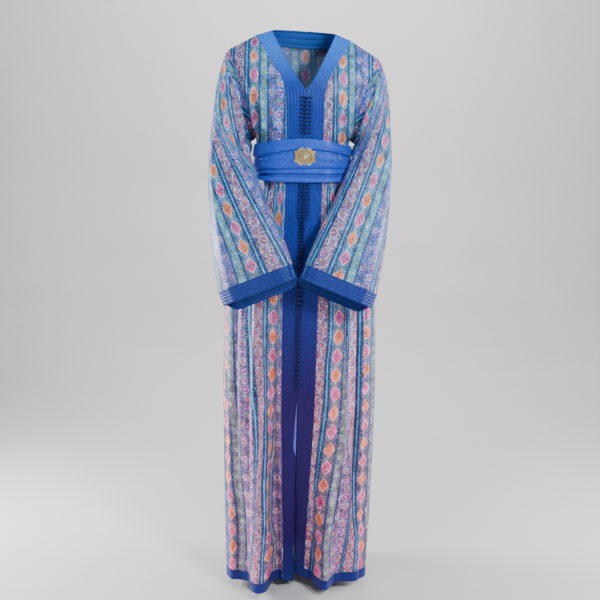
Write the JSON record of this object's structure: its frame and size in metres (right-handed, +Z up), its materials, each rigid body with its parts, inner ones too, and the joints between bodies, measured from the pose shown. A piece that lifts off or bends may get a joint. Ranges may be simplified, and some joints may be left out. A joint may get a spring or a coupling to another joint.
{
  "type": "moroccan caftan with belt",
  "caption": "Floor-length bell-sleeved caftan in striped print with blue pin-tucked bands, knot buttons, a pleated cloth belt and a gilt brooch, shaped as worn.",
  "frame": {"origin": "between the two points where the neckline crosses the shoulder seams, where the wearer's shoulders carry it", "axes": "+Z up along the garment, -Y the front, +X the wearer's left"},
  "size_m": [0.4699, 0.4146, 1.5141],
  "materials": {
    "printed_crepe": "striped and figured printed crepe, slight sheen",
    "blue_crepe": "plain blue crepe with a silky sheen",
    "blue_cord": "knotted and wrapped navy silk cord",
    "gilt_metal": "gilt filigree",
    "brooch_crystal": "clear cut crystal"
  },
  "bodies": {
    "root": {"bodice_right": "printed_crepe", "bodice_left": "printed_crepe", "bodice_back": "printed_crepe", "skirt_right": "printed_crepe", "skirt_left": "printed_crepe", "skirt_back": "printed_crepe", "band_right_upper": "blue_crepe", "band_right_lower": "blue_crepe", "band_left_upper": "blue_crepe", "band_left_lower": "blue_crepe", "band_neck": "blue_crepe", "sleeve_right": "printed_crepe", "sleeve_left": "printed_crepe", "cuff_right": "blue_crepe", "cuff_left": "blue_crepe", "hem_right": "blue_crepe", "hem_left": "blue_crepe", "hem_back": "blue_crepe", "buttons_bodice": "blue_cord", "buttons_skirt": "blue_cord", "belt": "blue_crepe", "brooch_plate": "gilt_metal", "brooch_stone": "brooch_crystal"}
  },
  "joints": []
}
